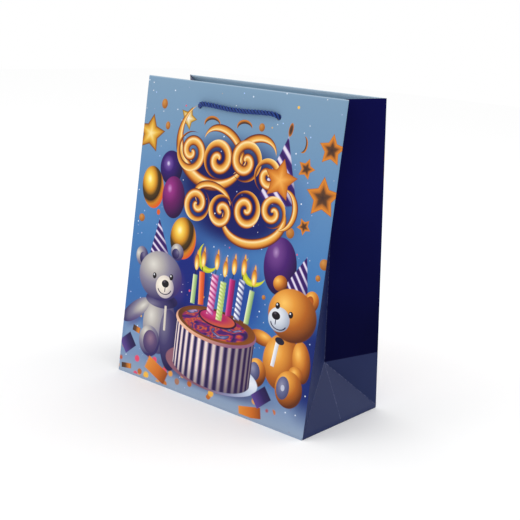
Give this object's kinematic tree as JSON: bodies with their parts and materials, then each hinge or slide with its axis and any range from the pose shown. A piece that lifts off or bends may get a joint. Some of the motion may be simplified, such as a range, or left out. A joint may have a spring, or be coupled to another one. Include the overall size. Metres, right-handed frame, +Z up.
{
  "type": "gift bag",
  "caption": "Paper gift bag with pleated sides, a glued block bottom, a party print and short twisted rope handles; it folds flat on its creases.",
  "frame": {"origin": "middle of the bottom, on the surface that the bag stands on", "axes": "+Z up, towards the mouth; +X to the right across the panels, seen from the printed front; +Y from the printed front to the back; at rest the bag stands open"},
  "size_m": [0.26, 0.127, 0.324],
  "materials": {
    "printed_paper": "satin laminated art paper, blue with a party print outside, white inside",
    "side_paper": "satin laminated art paper, plain navy outside, white inside",
    "greyboard": "matte uncoated greyboard",
    "rope": "twisted polypropylene rope, satin"
  },
  "bodies": {
    "base": {"front_base_flap": "printed_paper", "back_base_flap": "printed_paper", "left_dust_flap": "side_paper", "right_dust_flap": "side_paper", "base_board": "greyboard", "right_pleat_triangle": "side_paper", "left_pleat_triangle": "side_paper"},
    "front": {"front_panel": "printed_paper", "front_hem": "printed_paper", "front_stiffener": "greyboard", "right_pleat_front": "side_paper", "left_pleat_front": "side_paper", "right_pleat_hem_front": "side_paper", "left_pleat_hem_front": "side_paper", "front_rope_tail_left": "rope", "front_rope_tail_right": "rope", "front_knot_left": "rope", "front_knot_right": "rope"},
    "back_foot": {"back_panel_foot": "printed_paper", "seam_flap_foot": "side_paper", "right_pleat_corner": "side_paper", "left_pleat_corner": "side_paper"},
    "back": {"back_panel": "printed_paper", "back_hem": "printed_paper", "back_stiffener": "greyboard", "seam_flap": "side_paper", "right_pleat_back": "side_paper", "left_pleat_back": "side_paper", "right_pleat_hem_back": "side_paper", "left_pleat_hem_back": "side_paper", "back_rope_tail_left": "rope", "back_rope_tail_right": "rope", "back_knot_left": "rope", "back_knot_right": "rope"},
    "front_handle": {"front_handle_rope": "rope"},
    "back_handle": {"back_handle_rope": "rope"}
  },
  "joints": [
    {"name": "front_fold", "type": "hinge", "parent": "base", "child": "front", "pos_m": [0, -0.06301, 0.00297], "axis": [-1, 0, 0], "range_deg": [0, 76], "deforming": ["right_pleat_front", "left_pleat_front", "right_pleat_hem_front", "left_pleat_hem_front", "right_pleat_triangle", "left_pleat_triangle"]},
    {"name": "back_foot_fold", "type": "hinge", "parent": "base", "child": "back_foot", "pos_m": [0, 0.06301, 0.00297], "axis": [1, 0, 0], "range_deg": [0, 82.6], "deforming": ["right_pleat_corner", "left_pleat_corner"]},
    {"name": "back_fold", "type": "hinge", "parent": "back_foot", "child": "back", "pos_m": [0, 0.05726, 0.06319], "axis": [-1, 0, 0], "range_deg": [0, 176.6], "deforming": ["right_pleat_back", "left_pleat_back", "right_pleat_hem_back", "left_pleat_hem_back"]},
    {"name": "front_handle_swing", "type": "hinge", "parent": "front", "child": "front_handle", "pos_m": [0, -0.03695, 0.30243], "axis": [-1, 0, 0], "range_deg": [0, 180]},
    {"name": "back_handle_swing", "type": "hinge", "parent": "back", "child": "back_handle", "pos_m": [0, 0.03695, 0.30243], "axis": [1, 0, 0], "range_deg": [0, 180]}
  ],
  "couplings": [
    {"joint": "back_foot_fold", "follows": "front_fold", "ratio": 1.0855},
    {"joint": "back_fold", "follows": "front_fold", "ratio": 2.3224}
  ]
}
